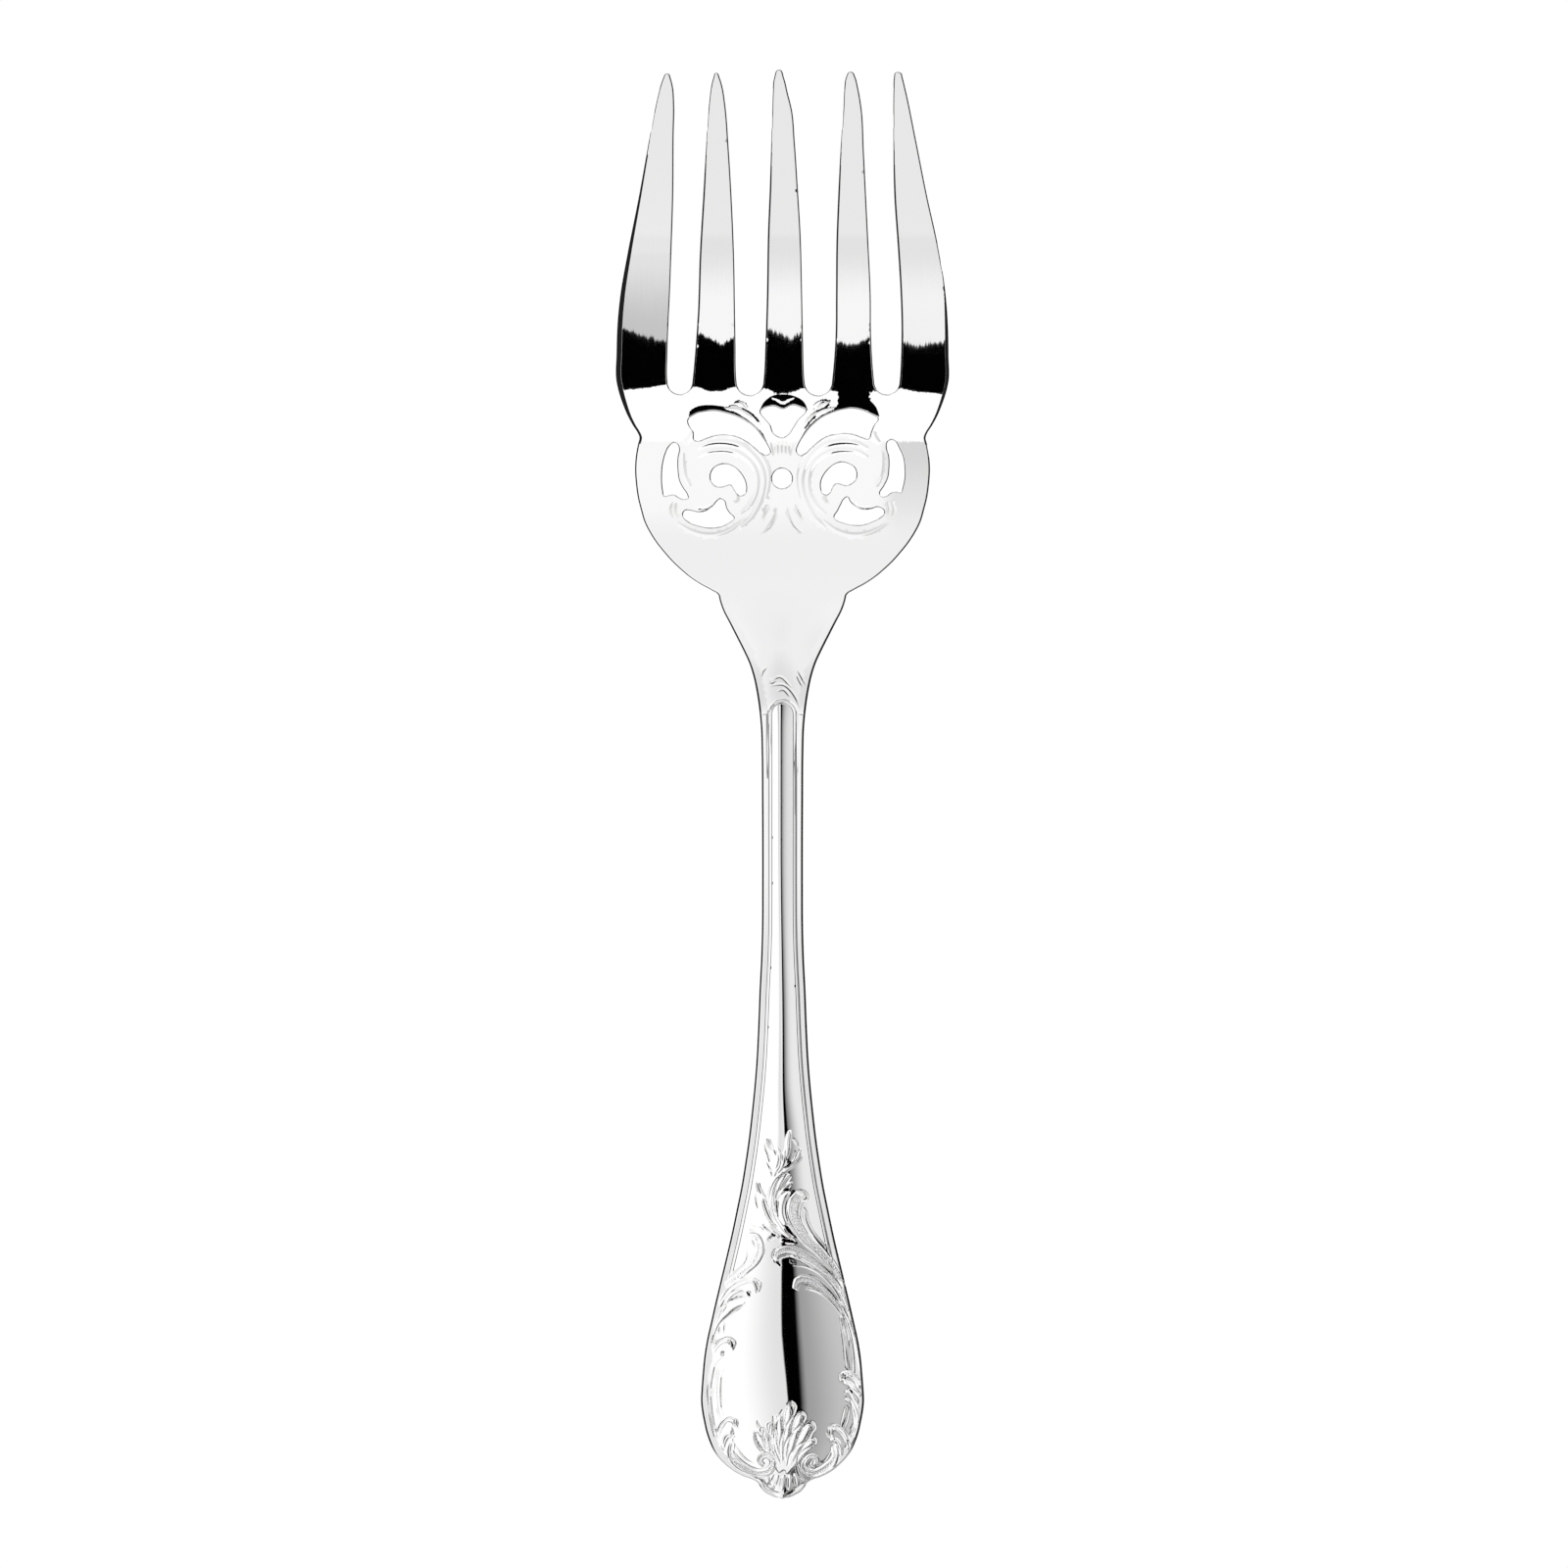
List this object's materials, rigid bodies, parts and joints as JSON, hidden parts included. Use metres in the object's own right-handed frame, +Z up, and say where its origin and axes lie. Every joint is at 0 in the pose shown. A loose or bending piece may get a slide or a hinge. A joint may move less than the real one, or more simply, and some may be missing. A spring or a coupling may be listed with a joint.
{
  "type": "fish serving fork",
  "caption": "Broad pointed tines on a pierced, scroll-chased head, with an arched thread-edged handle that ends in a cartouche and shell, for lifting and steadying fish.",
  "frame": {"origin": "under the middle of the fork's length and width, on the table it lies on", "axes": "+Y towards the tips of the tines, +X to the right seen from above, +Z up from the table"},
  "size_m": [0.057, 0.245, 0.0166],
  "materials": {
    "silver": "polished silver plate"
  },
  "bodies": {
    "root": {"fish_server": "silver"}
  },
  "joints": []
}
